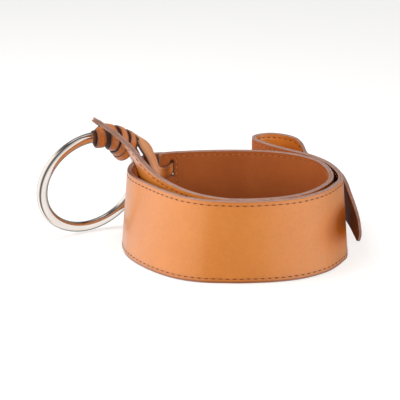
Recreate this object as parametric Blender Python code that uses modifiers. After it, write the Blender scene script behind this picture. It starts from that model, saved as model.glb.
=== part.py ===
"""Wide contoured leather ring belt, coiled and standing on its lower edge.

Two laminated leather halves (grain shell, core, lining, lockstitched along the
edges) are laced to a large metal ring. The inner half runs from the slot at the
back left round to the front and ends in a strap laid over the ring knot. The
outer half starts lapped behind it, wraps the coil, turns back on itself at the
rear and ends in a narrow tongue at the right.

Frame: metres, +Z up, -Y towards the front of the coil, origin at the bottom
middle of the whole object. Stations are measured from the coil's own middle, in
millimetres, and everything is moved to the frame's origin at the end.
"""
import math

import bmesh
import bpy
import numpy as np
from mathutils import Matrix, Vector

MM = 0.001

# The bottom middle of the whole object, measured from the coil's middle.
ORIGIN = (-26.624, 25.588, 0.129)

# Leather build-up, in millimetres: grain shell, core and lining with air gaps between.
BAND_HEIGHT = 57.0
FLOOR_GAP = 0.4
FACE_PLY = 1.3
CORE_PLY = 0.6
PLY_GAP = 0.3
FACE_OFFSET = CORE_PLY / 2 + PLY_GAP + FACE_PLY / 2

# The core stops short of the edges and of the narrowed ends, and the sewing
# thread locks between the face plies in the space that it leaves.
CORE_INSET = 5.0
THREAD_RADIUS = 0.3
THREAD_INSET = 3.0

# Slots that take the lace, near the lapped ends at the back left.
SLOT_CENTRE = (-46.3, 60.0, 44.7)
SLOT_HEIGHT = 13.0
SLOT_WIDTH = 3.6
SLOT_DEPTH = 24.0
SLOT_YAW = 18.0

# Ring: a rounded band of metal turned about its own axis.
RING_CENTRE = (-104.8, 33.5, 40.8)
RING_MEAN_RADIUS = 38.0
RING_HALF_RADIAL = 4.0
RING_HALF_AXIAL = 2.8
RING_YAW = 30.4
RING_PITCH = -16.0
RING_STEPS = 72
RING_SIDES = 10
RING_MERGE = 0.05

# Knot: a leather sleeve round the ring, whipped with a flat thong.
KNOT_FROM = 39.0
KNOT_TO = 91.0
SLEEVE_RADIUS = 7.6
SLEEVE_CLEARANCE = 0.45
SLEEVE_STATIONS = 14
SLEEVE_SIDES = 20
KNOT_FLATTENING = 0.8
THONG_TURNS = 3.75
THONG_WIDTH = 5.6
THONG_THICKNESS = 1.6
THONG_LIFT = 0.4
THONG_STEPS_PER_TURN = 20

# Lace: the flat strap that leaves the knot, crosses the rim and goes through the slots.
LACE_WIDTH = 11.0
LACE_THICKNESS = 2.0

# Gaps left where a flexing end is its own body.
FLEX_GAP = 1.2
LACE_GAP = 2.6

STEPS_PER_SPAN = 2
TWIST_PER_STEP = 5.0
SHORTEST_STEP = 0.5

# The side of each half's sheet, along its normal, that carries the grain.
INNER_GRAIN = -1
OUTER_GRAIN = 1

LEATHER = (0.70, 0.33, 0.14, 1.0)
LEATHER_DARK = (0.30, 0.11, 0.05, 1.0)
LEATHER_CORE = (0.45, 0.28, 0.19, 1.0)
LACE_LEATHER = (0.62, 0.30, 0.13, 1.0)
THREAD_BROWN = (0.16, 0.06, 0.03, 1.0)
METAL = (0.86, 0.84, 0.82, 1.0)


def upright(x, y, lean, top=BAND_HEIGHT, bottom=FLOOR_GAP):
    """A standing station: its upper point, and its lower point pushed out from the coil's middle."""
    reach = math.hypot(x, y)
    scale = 1.0 + lean / reach
    return (x, y, top, x * scale, y * scale, bottom)


# Stations give the upper and the lower edge at mid thickness, in millimetres.
INNER_HALF = [
    upright(-56.0, 53.7, 0.6),
    upright(-46.0, 57.4, 1.0),
    upright(-25.6, 60.8, 1.3),
    upright(-3.0, 62.4, 1.2),
    upright(25.0, 60.0, 1.0),
    upright(45.0, 51.3, 1.1),
    upright(57.5, 38.5, 1.6),
    upright(63.8, 22.0, 2.2),
    upright(65.6, 4.0, 2.8),
    upright(64.2, -9.5, 2.9),
    upright(60.4, -19.8, 2.9),
    upright(51.3, -34.6, 2.0),
    upright(41.2, -44.4, 1.2),
    upright(26.0, -52.2, 0.5),
    upright(9.0, -55.6, 0.1),
    (-8.0, -55.0, 57.0, -8.6, -54.9, 0.3),
    (-25.6, -45.5, 57.0, -27.0, -46.0, 2.5),
    (-39.0, -33.0, 57.6, -41.0, -33.0, 8.0),
    (-54.1, -18.0, 61.6, -57.0, -12.0, 24.0),
    (-64.9, -9.0, 69.2, -66.4, 7.5, 48.0),
    (-69.4, -7.0, 74.3, -69.8, 12.5, 59.5),
]
STRAP = [
    (-69.4, -7.0, 74.3, -69.8, 12.5, 59.5),
    (-75.1, -6.0, 80.4, -75.4, 15.5, 70.5),
    (-80.6, -5.0, 85.1, -80.6, 16.8, 77.8),
    (-86.3, -5.0, 89.7, -86.3, 17.0, 82.6),
    (-92.2, -5.0, 93.7, -92.2, 17.0, 86.6),
    (-98.6, -6.0, 98.1, -98.6, 16.0, 91.0),
]
OUTER_HALF = [
    upright(-36.0, 65.4, 1.0, 53.4, 3.6),
    upright(-45.0, 63.6, 1.0, 54.4, 2.6),
    upright(-54.0, 60.6, 1.0, 55.6, 1.4),
    upright(-61.8, 54.4, 1.2, 56.6),
    upright(-66.8, 46.8, 1.6),
    upright(-70.8, 36.2, 2.6),
    upright(-74.4, 23.8, 4.2),
    upright(-75.1, 10.5, 5.0),
    upright(-73.0, 0.6, 5.4),
    upright(-68.9, -8.8, 7.0),
    upright(-60.8, -21.2, 8.4),
    upright(-49.5, -36.6, 7.4),
    upright(-37.3, -49.2, 5.0),
    upright(-24.0, -56.6, 2.4),
    upright(-9.3, -59.6, 0.6),
    upright(3.4, -60.2, 0.1),
    upright(25.0, -57.0, 0.9),
    upright(41.8, -50.3, 2.2),
    upright(55.8, -38.4, 4.0),
    upright(61.8, -30.0, 4.6),
    upright(66.4, -21.0, 5.2),
    upright(70.1, -12.8, 5.4),
    upright(71.8, 1.0, 5.2),
    upright(70.4, 13.0, 4.9),
    upright(67.9, 24.6, 4.4),
    upright(63.7, 35.7, 3.4),
    upright(56.2, 48.4, 2.2),
    upright(47.5, 58.0, 1.2),
]
TAIL = [
    upright(47.5, 58.0, 1.2),
    upright(37.0, 68.0, 1.0),
    upright(28.0, 78.0, 0.8),
    upright(20.5, 88.0, 0.4),
    upright(16.6, 96.0, 0.0),
    upright(17.0, 104.0, 0.0),
    upright(22.5, 109.6, 0.0),
    upright(31.5, 111.6, 0.0),
    upright(42.0, 110.0, 0.0, 56.0),
    upright(49.5, 106.2, 0.0, 54.2),
    upright(53.6, 103.2, 0.0, 50.6, 3.5),
    upright(56.6, 100.4, 0.0, 44.5, 12.5),
    upright(60.6, 95.6, 0.0, 43.0, 14.5),
    upright(68.0, 84.0, 0.0, 42.5, 14.5),
    upright(74.0, 68.0, 0.0, 42.5, 14.2),
    upright(77.8, 50.0, 0.0, 43.0, 14.0),
]
FLAP = [
    upright(77.8, 50.0, 0.0, 43.0, 14.0),
    (78.6, 38.0, 43.6, 79.2, 38.0, 14.5),
    (79.6, 27.0, 42.6, 80.4, 27.0, 15.0),
    (81.0, 17.0, 39.0, 81.2, 16.0, 15.6),
    (83.2, 7.0, 33.2, 82.2, 6.0, 15.0),
    (85.6, -2.5, 24.8, 83.8, -2.0, 12.2),
    (86.6, -9.0, 15.5, 85.4, -8.0, 9.6),
]
# The full-height stations at which the cores stop.
INNER_CORE_END = (9.0, -55.6, BAND_HEIGHT)
TAIL_CORE_END = (42.0, 110.0, 56.0)

# Lace: middle of the strap, then the direction of its width.
NECK = [
    (-83.6, 50.8, 67.2, 0.47, 0.47, -0.74),
    (-78.4, 52.0, 70.6, 0.48, 0.52, -0.70),
    (-73.3, 52.4, 71.2, 0.50, 0.62, -0.58),
    (-68.8, 51.2, 67.9, 0.52, 0.72, -0.40),
    (-65.0, 48.8, 62.8, 0.50, 0.80, -0.15),
    (-62.2, 46.4, 57.0, 0.48, 0.85, 0.1),
]
SLOT_LACE = [
    (-62.2, 46.4, 57.0, 0.48, 0.85, 0.1),
    (-59.6, 45.6, 51.0, 0.42, 0.75, 0.45),
    (-56.6, 44.4, 45.2, 0.25, 0.45, 0.85),
    (-51.4, 48.2, 43.6, 0.0, 0.15, 1.0),
    (-47.4, 54.8, 44.7, 0.0, 0.0, 1.0),
    (-45.4, 61.0, 44.7, 0.0, 0.0, 1.0),
    (-43.2, 67.2, 44.7, 0.0, 0.0, 1.0),
    (-38.0, 70.4, 44.7, 0.0, 0.0, 1.0),
    (-30.0, 71.4, 44.7, 0.0, 0.0, 1.0),
]


def clear_scene():
    for obj in list(bpy.data.objects):
        bpy.data.objects.remove(obj, do_unlink=True)


def new_collection(name, hidden=False):
    collection = bpy.data.collections.new(name)
    bpy.context.scene.collection.children.link(collection)
    collection.hide_render = hidden
    return collection


def material(name, colour, roughness, metallic=0.0):
    made = bpy.data.materials.new(name)
    made.use_nodes = True
    shader = made.node_tree.nodes["Principled BSDF"]
    shader.inputs["Base Color"].default_value = colour
    shader.inputs["Roughness"].default_value = roughness
    shader.inputs["Metallic"].default_value = metallic
    return made


def add_object(name, data, surface):
    obj = bpy.data.objects.new(name, data)
    data.materials.append(surface)
    BELT.objects.link(obj)
    return obj


def steps_between(first, second):
    """How many steps a span needs: more where the band twists."""
    width_a = first[0:3] - first[3:6]
    width_b = second[0:3] - second[3:6]
    cosine = width_a @ width_b / np.linalg.norm(width_a) / np.linalg.norm(width_b)
    twist = math.degrees(math.acos(min(1.0, cosine)))
    return STEPS_PER_SPAN + int(twist / TWIST_PER_STEP)


def smooth_rows(rows):
    """Rows resampled along a centripetal Catmull-Rom curve, and the place of each given row."""
    given = np.array(rows, float)
    given = np.vstack([2 * given[0] - given[1], given, 2 * given[-1] - given[-2]])
    spacing = np.linalg.norm(np.diff(given[:, :3], axis=0), axis=1) ** 0.5
    knots = np.concatenate([[0.0], np.cumsum(spacing)])
    result = []
    marks = []
    for i in range(1, len(given) - 2):
        k0, k1, k2, k3 = knots[i - 1:i + 3]
        p0, p1, p2, p3 = given[i - 1:i + 3]
        marks.append(len(result))
        for k in np.linspace(k1, k2, steps_between(p1, p2), endpoint=False):
            a1 = ((k1 - k) * p0 + (k - k0) * p1) / (k1 - k0)
            a2 = ((k2 - k) * p1 + (k - k1) * p2) / (k2 - k1)
            a3 = ((k3 - k) * p2 + (k - k2) * p3) / (k3 - k2)
            b1 = ((k2 - k) * a1 + (k - k0) * a2) / (k2 - k0)
            b2 = ((k3 - k) * a2 + (k - k1) * a3) / (k3 - k1)
            result.append(((k2 - k) * b1 + (k - k1) * b2) / (k2 - k1))
    marks.append(len(result))
    result.append(given[-2])
    return np.array(result), marks


class Sheet:
    """A ruled band between an upper and a lower edge, sampled at stations along its length."""

    def __init__(self, rows):
        self.upper = rows[:, 0:3]
        self.lower = rows[:, 3:6]
        along = np.gradient(self.upper, axis=0) + np.gradient(self.lower, axis=0)
        across = np.cross(along, self.upper - self.lower)
        self.normal = across / np.linalg.norm(across, axis=1)[:, None]

    def point(self, station, height, offset):
        """Height runs 0 to 1 from the lower to the upper edge; offset is along the normal."""
        base = self.lower[station] + (self.upper[station] - self.lower[station]) * height
        return (base + self.normal[station] * offset) * MM

    def length_across(self, station):
        return float(np.linalg.norm(self.upper[station] - self.lower[station]))

    def __len__(self):
        return len(self.upper)


def trimmed(rows, start=0.0, end=0.0):
    """Rows with a length of band taken off either end, in millimetres."""
    for length in (start, end):
        middle = (rows[:, 0:3] + rows[:, 3:6]) / 2
        run = np.concatenate([[0.0], np.cumsum(np.linalg.norm(np.diff(middle, axis=0), axis=1))])
        first = np.array([np.interp(length, run, column) for column in rows.T])
        rows = np.vstack([first, rows[run > length + SHORTEST_STEP]])[::-1]
    return rows


def split_runs(*runs):
    """Runs of stations smoothed as one, then parted at the stations they share."""
    joined = list(runs[0])
    ends = [len(joined) - 1]
    for run in runs[1:]:
        joined += run[1:]
        ends.append(len(joined) - 1)
    rows, marks = smooth_rows(joined)
    cuts = [0] + [marks[end] for end in ends]
    return [rows[start:end + 1] for start, end in zip(cuts, cuts[1:])]


def up_to(rows, station):
    """The rows from the start to the one nearest a given station."""
    apart = np.linalg.norm(rows[:, 0:3] - np.array(station[0:3]), axis=1)
    return rows[:int(apart.argmin()) + 1]


def ribbon_rows(stations, width):
    """Upper and lower edges of a ribbon from its middle line and its width directions."""
    rows = []
    for x, y, z, u, v, w in stations:
        middle = np.array([x, y, z])
        side = np.array([u, v, w])
        side = side / np.linalg.norm(side) * width / 2
        rows.append((*(middle + side), *(middle - side)))
    return rows


def ply(name, rows, offset, thickness, surface, inset=0.0):
    """One layer of leather: an open surface given its thickness by Solidify."""
    sheet = Sheet(rows)
    mesh = bpy.data.meshes.new(name)
    build = bmesh.new()
    lower = []
    upper = []
    for i in range(len(sheet)):
        height = inset / sheet.length_across(i)
        lower.append(build.verts.new(sheet.point(i, height, offset)))
        upper.append(build.verts.new(sheet.point(i, 1.0 - height, offset)))
    for i in range(len(sheet) - 1):
        build.faces.new((lower[i], lower[i + 1], upper[i + 1]))
        build.faces.new((lower[i], upper[i + 1], upper[i]))
    build.to_mesh(mesh)
    build.free()
    obj = add_object(name, mesh, surface)
    solidify = obj.modifiers.new("Thickness", "SOLIDIFY")
    solidify.thickness = thickness * MM
    solidify.offset = 0.0
    return obj


def face_plies(prefix, rows, grain_side, plies):
    """The grain shell and the lining of one length of band."""
    grain, _, lining = plies
    return [
        ply(prefix + "_shell", rows, grain_side * FACE_OFFSET, FACE_PLY, grain),
        ply(prefix + "_lining", rows, -grain_side * FACE_OFFSET, FACE_PLY, lining),
    ]


def core_ply(prefix, rows, plies):
    """The reinforcement between the face plies of the full-height band."""
    return ply(prefix + "_core", rows, 0.0, CORE_PLY, plies[1], CORE_INSET)


def thread(name, points, surface):
    """A sewing thread through a list of points."""
    curve = bpy.data.curves.new(name, "CURVE")
    curve.dimensions = "3D"
    curve.bevel_depth = THREAD_RADIUS * MM
    curve.bevel_resolution = 0
    curve.use_fill_caps = True
    line = curve.splines.new("POLY")
    line.points.add(len(points) - 1)
    for place, point in zip(line.points, points):
        place.co = (*point, 1.0)
    return add_object(name, curve, surface)


def seam(sheet, upper):
    """The points of one row of sewing, a fixed inset inside an edge."""
    points = []
    for i in range(len(sheet)):
        inset = THREAD_INSET / sheet.length_across(i)
        points.append(sheet.point(i, 1.0 - inset if upper else inset, 0.0))
    return points


def looped_thread(name, rows, surface, end_first):
    """A thread along the upper edge, across the closed end and back along the lower edge."""
    sheet = Sheet(rows)
    if end_first:
        return thread(name, seam(sheet, True)[::-1] + seam(sheet, False), surface)
    return thread(name, seam(sheet, True) + seam(sheet, False)[::-1], surface)


def open_threads(prefix, rows, surface):
    sheet = Sheet(rows)
    thread(prefix + "_upper_thread", seam(sheet, True), surface)
    thread(prefix + "_lower_thread", seam(sheet, False), surface)


def slot_cutter():
    """The block that cuts the lace slot through the lapped ends."""
    mesh = bpy.data.meshes.new("lace_slot_cutter")
    build = bmesh.new()
    bmesh.ops.create_cube(build, size=1.0)
    bmesh.ops.scale(build, vec=Vector((SLOT_WIDTH, SLOT_DEPTH, SLOT_HEIGHT)) * MM, verts=build.verts)
    build.to_mesh(mesh)
    build.free()
    cutter = bpy.data.objects.new("lace_slot_cutter", mesh)
    CUTTERS.objects.link(cutter)
    cutter.location = Vector(SLOT_CENTRE) * MM
    cutter.rotation_euler = (0.0, 0.0, -math.radians(SLOT_YAW))
    cutter.display_type = "WIRE"
    cutter.hide_render = True
    return cutter


def cut(obj, cutter):
    boolean = obj.modifiers.new("Lace slot", "BOOLEAN")
    boolean.operation = "DIFFERENCE"
    boolean.object = cutter


def ring_frame():
    """The ring's axis and two directions in its plane, the first of them level."""
    yaw = math.radians(RING_YAW)
    pitch = math.radians(RING_PITCH)
    axis = Vector((
        math.cos(pitch) * math.sin(yaw),
        -math.cos(pitch) * math.cos(yaw),
        math.sin(pitch),
    ))
    level = Vector((0.0, 0.0, 1.0)).cross(axis).normalized()
    return level, axis.cross(level), axis


def ring_matrix():
    level, rising, axis = ring_frame()
    turn = Matrix((level, rising, axis)).transposed().to_4x4()
    return Matrix.Translation(Vector(RING_CENTRE) * MM) @ turn


def add_ring(surface):
    """An oval profile turned about the ring's axis."""
    mesh = bpy.data.meshes.new("ring")
    build = bmesh.new()
    corners = []
    for i in range(RING_SIDES):
        angle = 2 * math.pi * i / RING_SIDES
        corners.append(build.verts.new((
            (RING_MEAN_RADIUS + RING_HALF_RADIAL * math.cos(angle)) * MM,
            0.0,
            -RING_HALF_AXIAL * math.sin(angle) * MM,
        )))
    for i in range(RING_SIDES):
        build.edges.new((corners[i], corners[(i + 1) % RING_SIDES]))
    build.to_mesh(mesh)
    build.free()
    obj = add_object("ring", mesh, surface)
    obj.matrix_world = ring_matrix()
    screw = obj.modifiers.new("Turned", "SCREW")
    screw.axis = "Z"
    screw.steps = RING_STEPS
    screw.render_steps = RING_STEPS
    screw.use_merge_vertices = True
    screw.merge_threshold = RING_MERGE * MM
    return obj


def tube_point(along, around, radial, axial):
    """A point on an oval tube round the ring's middle circle, in the ring's own frame."""
    reach = RING_MEAN_RADIUS + radial * math.cos(around)
    return Vector((
        reach * math.cos(along),
        reach * math.sin(along),
        axial * math.sin(around),
    ))


def add_sleeve(surface):
    """The leather tube round the ring that the thong is whipped over."""
    mesh = bpy.data.meshes.new("knot_sleeve")
    build = bmesh.new()
    inner = (RING_HALF_RADIAL + SLEEVE_CLEARANCE, RING_HALF_AXIAL + SLEEVE_CLEARANCE)
    outer = (SLEEVE_RADIUS, SLEEVE_RADIUS - KNOT_FLATTENING)
    turns = [2 * math.pi * k / SLEEVE_SIDES for k in range(SLEEVE_SIDES)]
    loops = []
    for i in range(SLEEVE_STATIONS + 1):
        along = math.radians(KNOT_FROM + (KNOT_TO - KNOT_FROM) * i / SLEEVE_STATIONS)
        pair = []
        for radial, axial in (outer, inner):
            pair.append([
                build.verts.new(tube_point(along, around, radial, axial) * MM)
                for around in turns
            ])
        loops.append(pair)
    for i in range(SLEEVE_STATIONS):
        for k in range(SLEEVE_SIDES):
            n = (k + 1) % SLEEVE_SIDES
            (out_a, in_a), (out_b, in_b) = loops[i], loops[i + 1]
            build.faces.new((out_a[k], out_a[n], out_b[n], out_b[k]))
            build.faces.new((in_a[k], in_b[k], in_b[n], in_a[n]))
    for (out, inside), flip in ((loops[0], True), (loops[-1], False)):
        for k in range(SLEEVE_SIDES):
            n = (k + 1) % SLEEVE_SIDES
            face = (out[k], out[n], inside[n], inside[k])
            build.faces.new(face[::-1] if flip else face)
    bmesh.ops.recalc_face_normals(build, faces=build.faces)
    build.to_mesh(mesh)
    build.free()
    obj = add_object("knot_sleeve", mesh, surface)
    obj.matrix_world = ring_matrix()
    return obj


def add_thong(surface):
    """The flat thong wound in a helix over the sleeve."""
    steps = round(THONG_TURNS * THONG_STEPS_PER_TURN)
    reach = SLEEVE_RADIUS + THONG_LIFT + THONG_THICKNESS / 2
    oval = (reach, reach - KNOT_FLATTENING)
    half = math.degrees(THONG_WIDTH / 2 / RING_MEAN_RADIUS)
    first = KNOT_FROM + half
    last = KNOT_TO - half
    mesh = bpy.data.meshes.new("wrap_thong")
    build = bmesh.new()
    edges = []
    for i in range(steps + 1):
        middle = first + (last - first) * i / steps
        around = 2 * math.pi * THONG_TURNS * i / steps
        edges.append([
            build.verts.new(tube_point(math.radians(middle + side), around, *oval) * MM)
            for side in (-half, half)
        ])
    for (a, b), (c, d) in zip(edges, edges[1:]):
        build.faces.new((a, b, d))
        build.faces.new((a, d, c))
    build.to_mesh(mesh)
    build.free()
    obj = add_object("wrap_thong", mesh, surface)
    obj.matrix_world = ring_matrix()
    solidify = obj.modifiers.new("Thickness", "SOLIDIFY")
    solidify.thickness = THONG_THICKNESS * MM
    solidify.offset = 0.0
    return obj


def add_inner_half(plies, sewing, cutter):
    """The inner half from the slot to the front, and the strap that it ends in."""
    inner, strap = split_runs(INNER_HALF, STRAP)
    inner = trimmed(inner, end=FLEX_GAP / 2)
    core = up_to(inner, INNER_CORE_END)
    slotted = face_plies("inner", inner, INNER_GRAIN, plies)
    slotted.append(core_ply("inner", trimmed(core, start=CORE_INSET), plies))
    for obj in slotted:
        cut(obj, cutter)
    looped_thread("inner_thread", trimmed(inner, start=THREAD_INSET), sewing, True)

    strap = trimmed(strap, start=FLEX_GAP / 2)
    face_plies("strap", strap, INNER_GRAIN, plies)
    looped_thread("strap_thread", trimmed(strap, end=THREAD_INSET), sewing, False)


def add_outer_half(plies, sewing, cutter):
    """The outer half round the coil, the tail that turns back and the flap at its end."""
    outer, tail, flap = split_runs(OUTER_HALF, TAIL, FLAP)
    outer = trimmed(outer, end=FLEX_GAP / 2)
    tail = trimmed(tail, FLEX_GAP / 2, FLEX_GAP / 2)
    flap = trimmed(flap, start=FLEX_GAP / 2)

    slotted = face_plies("outer", outer, OUTER_GRAIN, plies)
    slotted.append(core_ply("outer", trimmed(outer, start=CORE_INSET), plies))
    for obj in slotted:
        cut(obj, cutter)
    looped_thread("outer_thread", trimmed(outer, start=THREAD_INSET), sewing, True)

    face_plies("tail", tail, OUTER_GRAIN, plies)
    core_ply("tail", up_to(tail, TAIL_CORE_END), plies)
    open_threads("tail", tail, sewing)

    face_plies("flap", flap, OUTER_GRAIN, plies)
    looped_thread("flap_thread", trimmed(flap, end=THREAD_INSET), sewing, False)


def add_lace(surface):
    """The lace: over the rim from the knot, and through the slots to the outside."""
    neck, slot_run = split_runs(ribbon_rows(NECK, LACE_WIDTH), ribbon_rows(SLOT_LACE, LACE_WIDTH))
    ply("neck_lace", trimmed(neck, end=LACE_GAP / 2), 0.0, LACE_THICKNESS, surface)
    ply("slot_lace", trimmed(slot_run, start=LACE_GAP / 2), 0.0, LACE_THICKNESS, surface)


def add_ring_and_knot(metal, lacing):
    add_ring(metal)
    add_sleeve(lacing)
    add_thong(lacing)
    add_lace(lacing)


def move_to_origin():
    for obj in [*BELT.objects, *CUTTERS.objects]:
        obj.location -= Vector(ORIGIN) * MM


clear_scene()
BELT = new_collection("leather_belt")
CUTTERS = new_collection("cutters", hidden=True)
PLIES = (
    material("grain_leather", LEATHER, 0.38),
    material("leather_core", LEATHER_CORE, 0.8),
    material("lining_leather", LEATHER_DARK, 0.6),
)
THREAD = material("waxed_thread", THREAD_BROWN, 0.6)
SLOT_CUTTER = slot_cutter()
add_inner_half(PLIES, THREAD, SLOT_CUTTER)
add_outer_half(PLIES, THREAD, SLOT_CUTTER)
add_ring_and_knot(
    material("polished_metal", METAL, 0.06, 1.0),
    material("lace_leather", LACE_LEATHER, 0.45),
)
move_to_origin()
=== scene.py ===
"""Looks of the ring belt: laminated leather plies, sewing, lace knot and polished ring,
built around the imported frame, with a pale studio round them.

Lengths are in millimetres and measured from the coil's own middle; each mesh is moved to
the frame's origin when it is made.
"""
import math

import bmesh
import bpy
import numpy as np
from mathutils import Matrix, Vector

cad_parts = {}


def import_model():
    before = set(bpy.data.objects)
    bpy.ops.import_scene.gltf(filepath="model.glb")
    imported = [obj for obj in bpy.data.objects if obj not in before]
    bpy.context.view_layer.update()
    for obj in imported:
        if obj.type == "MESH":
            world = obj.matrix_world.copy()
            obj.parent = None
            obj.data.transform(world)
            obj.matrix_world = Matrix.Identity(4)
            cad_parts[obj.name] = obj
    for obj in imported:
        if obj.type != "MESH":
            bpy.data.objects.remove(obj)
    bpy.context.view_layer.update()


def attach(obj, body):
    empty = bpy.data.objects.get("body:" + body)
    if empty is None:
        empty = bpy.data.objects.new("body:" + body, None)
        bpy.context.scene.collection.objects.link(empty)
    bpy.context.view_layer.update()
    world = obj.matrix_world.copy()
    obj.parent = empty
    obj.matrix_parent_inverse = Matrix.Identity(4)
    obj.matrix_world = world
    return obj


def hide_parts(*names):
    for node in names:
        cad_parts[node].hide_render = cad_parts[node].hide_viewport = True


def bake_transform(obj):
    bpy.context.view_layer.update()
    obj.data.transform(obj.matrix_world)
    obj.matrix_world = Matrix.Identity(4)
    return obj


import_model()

MM = 0.001
COIL_MIDDLE = np.array([26.624, -25.588, -0.129])

BAND_HEIGHT = 57.0
FLOOR_GAP = 0.4
HALF_THICKNESS = 1.9
SEAM_INSET = 3.0
STITCH_PITCH = 4.6
COLUMN_STEP = STITCH_PITCH / 4

SLOT_CENTRE = (-46.3, 60.0)
SLOT_YAW = 18.0
SLOT_WIDTH = 3.6
SLOT_TOP = 5.8
SLOT_BOTTOM = 18.8

RING_CENTRE = np.array([-104.8, 33.5, 40.8])
RING_RADIUS = 38.0
RING_YAW = 30.4
RING_PITCH = -16.0


# ---------------------------------------------------------------- band surfaces

def upright(x, y, lean, top=BAND_HEIGHT, bottom=FLOOR_GAP):
    """A standing station: its upper point, and its lower point pushed out from the coil's middle."""
    scale = 1.0 + lean / math.hypot(x, y)
    return (x, y, top, x * scale, y * scale, bottom)


INNER_HALF = [
    upright(-56.0, 53.7, 0.6),
    upright(-46.0, 57.4, 1.0),
    upright(-25.6, 60.8, 1.3),
    upright(-3.0, 62.4, 1.2),
    upright(25.0, 60.0, 1.0),
    upright(45.0, 51.3, 1.1),
    upright(57.5, 38.5, 1.6),
    upright(63.8, 22.0, 2.2),
    upright(65.6, 4.0, 2.8),
    upright(64.2, -9.5, 2.9),
    upright(60.4, -19.8, 2.9),
    upright(51.3, -34.6, 2.0),
    upright(41.2, -44.4, 1.2),
    upright(26.0, -52.2, 0.5),
    upright(9.0, -55.6, 0.1),
    (-8.0, -55.0, 57.0, -8.6, -54.9, 0.3),
    (-25.6, -45.5, 57.0, -27.0, -46.0, 2.5),
    (-39.0, -33.0, 57.6, -41.0, -33.0, 8.0),
    (-54.1, -18.0, 61.6, -57.0, -12.0, 24.0),
    (-64.9, -9.0, 69.2, -66.4, 7.5, 48.0),
    (-69.4, -7.0, 74.3, -69.8, 12.5, 59.5),
    (-75.1, -6.0, 80.4, -75.4, 15.5, 70.5),
    (-80.6, -5.0, 85.1, -80.6, 16.8, 77.8),
    (-86.3, -5.0, 89.7, -86.3, 17.0, 82.6),
    (-92.2, -5.0, 93.7, -92.2, 17.0, 86.6),
    (-98.6, -6.0, 98.1, -98.6, 16.0, 91.0),
]
OUTER_HALF = [
    upright(-36.0, 65.4, 1.0, 53.4, 3.6),
    upright(-45.0, 63.6, 1.0, 54.4, 2.6),
    upright(-54.0, 60.6, 1.0, 55.6, 1.4),
    upright(-61.8, 54.4, 1.2, 56.6),
    upright(-66.8, 46.8, 1.6),
    upright(-70.8, 36.2, 2.6),
    upright(-74.4, 23.8, 4.2),
    upright(-75.1, 10.5, 5.0),
    upright(-73.0, 0.6, 5.4),
    upright(-68.9, -8.8, 7.0),
    upright(-60.8, -21.2, 8.4),
    upright(-49.5, -36.6, 7.4),
    upright(-37.3, -49.2, 5.0),
    upright(-24.0, -56.6, 2.4),
    upright(-9.3, -59.6, 0.6),
    upright(3.4, -60.2, 0.1),
    upright(25.0, -57.0, 0.9),
    upright(41.8, -50.3, 2.2),
    upright(55.8, -38.4, 4.0),
    upright(61.8, -30.0, 4.6),
    upright(66.4, -21.0, 5.2),
    upright(70.1, -12.8, 5.4),
    upright(71.8, 1.0, 5.2),
    upright(70.4, 13.0, 4.9),
    upright(67.9, 24.6, 4.4),
    upright(63.7, 35.7, 3.4),
    upright(56.2, 48.4, 2.2),
    upright(47.5, 58.0, 1.2),
    upright(37.0, 68.0, 1.0),
    upright(28.0, 78.0, 0.8),
    upright(20.5, 88.0, 0.4),
    upright(16.6, 96.0, 0.0),
    upright(17.0, 104.0, 0.0),
    upright(22.5, 109.6, 0.0),
    upright(31.5, 111.6, 0.0),
    upright(42.0, 110.0, 0.0, 56.0),
    upright(49.5, 106.2, 0.0, 54.2),
    upright(53.6, 103.2, 0.0, 50.6, 3.5),
    upright(56.6, 100.4, 0.0, 44.5, 12.5),
    upright(60.6, 95.6, 0.0, 43.0, 14.5),
    upright(68.0, 84.0, 0.0, 42.5, 14.5),
    upright(74.0, 68.0, 0.0, 42.5, 14.2),
    upright(77.8, 50.0, 0.0, 43.0, 14.0),
    (78.6, 38.0, 43.6, 79.2, 38.0, 14.5),
    (79.6, 27.0, 42.6, 80.4, 27.0, 15.0),
    (81.0, 17.0, 39.0, 81.2, 16.0, 15.6),
    (83.2, 7.0, 33.2, 82.2, 6.0, 15.0),
    (85.6, -2.5, 24.8, 83.8, -2.0, 12.2),
    (86.6, -9.0, 15.5, 85.4, -8.0, 9.6),
]
TONGUE_JOIN = (63.6, 91.2)
# The tongue is pared down towards its tip: distance from the tip, and share of the thickness.
TONGUE_SKIVE = [(0.0, 0.52), (14.0, 0.6), (40.0, 0.7), (62.0, 0.88)]
# Share of the nominal thickness that the glued and sewn plies keep.
PRESSED = 0.88

# Lace: middle of the strap, the direction of its width, then the width itself.
LACE = [
    (-83.6, 50.8, 67.2, 0.47, 0.47, -0.74, 9.6),
    (-78.4, 52.0, 70.6, 0.48, 0.52, -0.70, 11.2),
    (-73.3, 52.4, 71.2, 0.50, 0.62, -0.58, 12.4),
    (-69.2, 50.6, 68.2, 0.52, 0.72, -0.40, 14.4),
    (-65.6, 47.8, 63.0, 0.50, 0.80, -0.15, 14.2),
    (-62.2, 46.4, 57.0, 0.48, 0.85, 0.10, 10.6),
    (-59.6, 45.6, 51.0, 0.42, 0.75, 0.45, 9.6),
    (-56.6, 44.4, 45.2, 0.25, 0.45, 0.85, 9.0),
    (-51.4, 48.2, 43.6, 0.0, 0.15, 1.0, 8.7),
    (-47.4, 54.8, 44.7, 0.0, 0.0, 1.0, 8.6),
    (-45.4, 61.0, 44.7, 0.0, 0.0, 1.0, 8.6),
    (-43.2, 67.2, 44.7, 0.0, 0.0, 1.0, 9.0),
    (-38.0, 70.4, 44.7, 0.0, 0.0, 1.0, 10.4),
    (-30.0, 71.4, 44.7, 0.0, 0.0, 1.0, 10.4),
]
LACE_HALF_THICKNESS = 0.95


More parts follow.
